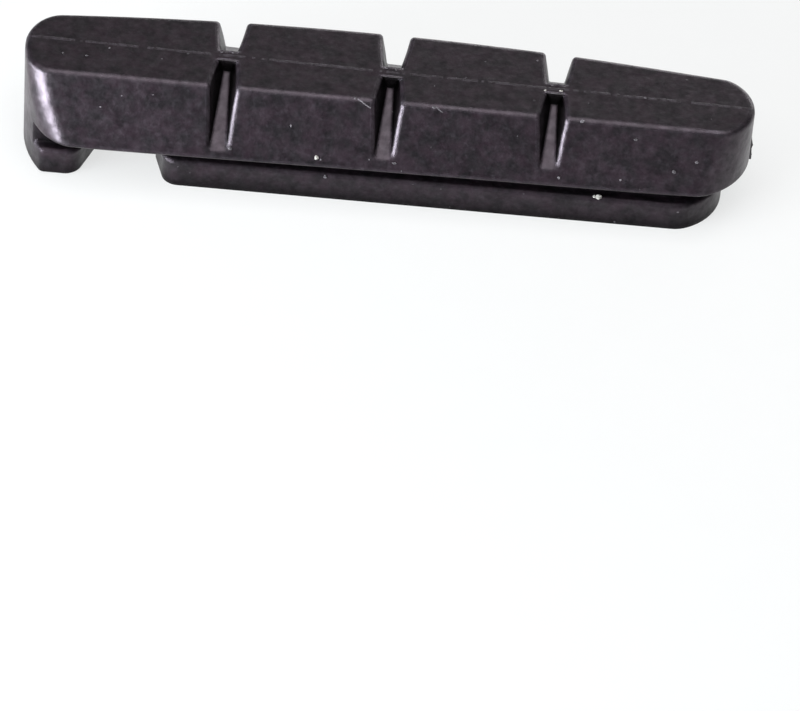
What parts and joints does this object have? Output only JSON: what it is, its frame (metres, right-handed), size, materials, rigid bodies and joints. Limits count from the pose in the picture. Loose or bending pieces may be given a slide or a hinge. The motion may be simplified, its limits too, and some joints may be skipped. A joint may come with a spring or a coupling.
{
  "type": "bicycle rim brake pad",
  "caption": "Moulded rubber insert with a slotted braking face, an undercut rail that slides into a pad holder and a notched retaining head.",
  "frame": {"origin": "on the back of the rail, at the middle of the pad's length and width", "axes": "+X to the rounded front end, -X to the retaining head, +Z from the rail's back to the braking face"},
  "size_m": [0.055, 0.0132, 0.0089],
  "materials": {
    "rubber": "matte moulded"
  },
  "bodies": {
    "root": {"brake_pad": "rubber"}
  },
  "joints": []
}
